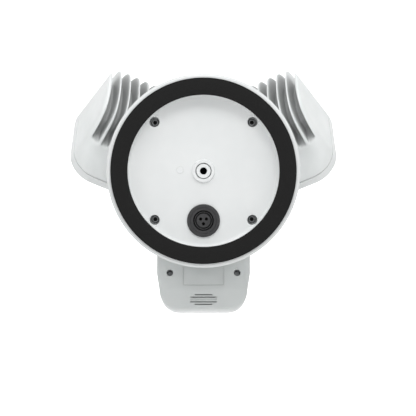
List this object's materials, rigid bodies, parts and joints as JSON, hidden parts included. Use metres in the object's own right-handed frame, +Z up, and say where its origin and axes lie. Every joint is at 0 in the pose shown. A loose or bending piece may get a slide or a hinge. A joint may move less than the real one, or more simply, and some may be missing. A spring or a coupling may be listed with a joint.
{
  "type": "floodlight security camera",
  "caption": "Outdoor floodlight camera: round gasketed wall base, swivelling finned lamp heads and a pan and tilt camera head hung below.",
  "frame": {"origin": "centre of the foam gasket wall face, on the base axis", "axes": "+Z up, +Y into the wall, the lamps and the camera look towards -Y, left lamp at +X"},
  "size_m": [0.2276, 0.1556, 0.2109],
  "materials": {
    "white_shell": "satin, fine moulded texture",
    "cast_white": "powder coated die casting",
    "foam": "closed-cell foam",
    "seal_rubber": "matte",
    "zinc_steel": "zinc plated",
    "socket_grey": "moulded",
    "contact_brass": "machined",
    "circuit_board": "solder mask",
    "component_black": "moulded",
    "diffuser": "frosted",
    "reflector_white": "satin",
    "gloss_black": "gloss",
    "lens_glass": "coated",
    "sensor_can": "tinned can"
  },
  "bodies": {
    "root_base": {"base_housing": "white_shell", "rear_plate": "white_shell", "foam_gasket": "foam", "housing_seal": "seal_rubber", "plate_screw_1": "zinc_steel", "plate_screw_2": "zinc_steel", "plate_screw_3": "zinc_steel", "plate_screw_4": "zinc_steel", "bolt_cap": "white_shell", "socket_body": "socket_grey", "socket_sleeve": "socket_grey", "socket_insulator": "socket_grey", "socket_contact_1": "contact_brass", "socket_contact_2": "contact_brass", "socket_contact_3": "contact_brass", "socket_nut": "zinc_steel", "driver_board": "circuit_board", "transformer": "component_black", "smoothing_capacitor": "component_black", "terminal_block": "socket_grey", "siren": "component_black"},
    "left_arm": {"left_lamp_arm": "white_shell", "left_lamp_stem_clip": "zinc_steel"},
    "left_lamp": {"left_lamp_housing": "cast_white", "left_lamp_bezel": "white_shell", "left_lamp_lens": "diffuser", "left_lamp_seal": "seal_rubber", "left_lamp_reflector": "reflector_white", "left_lamp_led_board": "circuit_board", "left_lamp_tilt_pin": "zinc_steel", "left_lamp_tilt_nut": "zinc_steel"},
    "right_arm": {"right_lamp_arm": "white_shell", "right_lamp_stem_clip": "zinc_steel"},
    "right_lamp": {"right_lamp_housing": "cast_white", "right_lamp_bezel": "white_shell", "right_lamp_lens": "diffuser", "right_lamp_seal": "seal_rubber", "right_lamp_reflector": "reflector_white", "right_lamp_led_board": "circuit_board", "right_lamp_tilt_pin": "zinc_steel", "right_lamp_tilt_nut": "zinc_steel"},
    "camera_yoke": {"camera_pan_yoke": "white_shell", "camera_pan_pin": "zinc_steel", "camera_pan_nut": "zinc_steel"},
    "camera_head": {"camera_rear_shell": "white_shell", "camera_front_shell": "white_shell", "camera_rear_panel": "white_shell", "camera_screw_1": "zinc_steel", "camera_screw_2": "zinc_steel", "camera_face_plate": "gloss_black", "camera_lens_ring": "component_black", "camera_lens": "lens_glass", "image_sensor_board": "circuit_board", "motion_sensor_lens": "diffuser", "motion_sensor": "sensor_can", "camera_speaker": "component_black", "camera_tilt_pin": "zinc_steel", "camera_tilt_nut": "zinc_steel"},
    "setup_button": {"setup_button": "socket_grey"}
  },
  "joints": [
    {"name": "left_lamp_swivel", "type": "hinge", "parent": "root_base", "child": "left_arm", "pos_m": [0.047, -0.0637, 0.0276], "axis": [0.4147, -0.91, 0], "range_deg": [-35, 20]},
    {"name": "left_lamp_tilt", "type": "hinge", "parent": "left_arm", "child": "left_lamp", "pos_m": [0.047, -0.0637, 0.0276], "axis": [0.8478, 0.3864, 0.3633], "range_deg": [-30, 20]},
    {"name": "right_lamp_swivel", "type": "hinge", "parent": "root_base", "child": "right_arm", "pos_m": [-0.047, -0.0637, 0.0276], "axis": [0.4147, 0.91, 0], "range_deg": [-35, 20]},
    {"name": "right_lamp_tilt", "type": "hinge", "parent": "right_arm", "child": "right_lamp", "pos_m": [-0.047, -0.0637, 0.0276], "axis": [0.8478, -0.3864, -0.3633], "range_deg": [-30, 20]},
    {"name": "camera_pan", "type": "hinge", "parent": "root_base", "child": "camera_yoke", "pos_m": [0, -0.062, -0.02], "axis": [0, 0, 1], "range_deg": [-30, 30]},
    {"name": "camera_tilt", "type": "hinge", "parent": "camera_yoke", "child": "camera_head", "pos_m": [0, -0.0885, -0.028], "axis": [1, 0, 0], "range_deg": [-20, 12]},
    {"name": "setup_button_press", "type": "slide", "parent": "camera_head", "child": "setup_button", "axis": [0, 0.2079, -0.9781], "range_m": [0, 0.0008], "stiffness_N_per_m": 600, "springref_m": -0.0006}
  ]
}
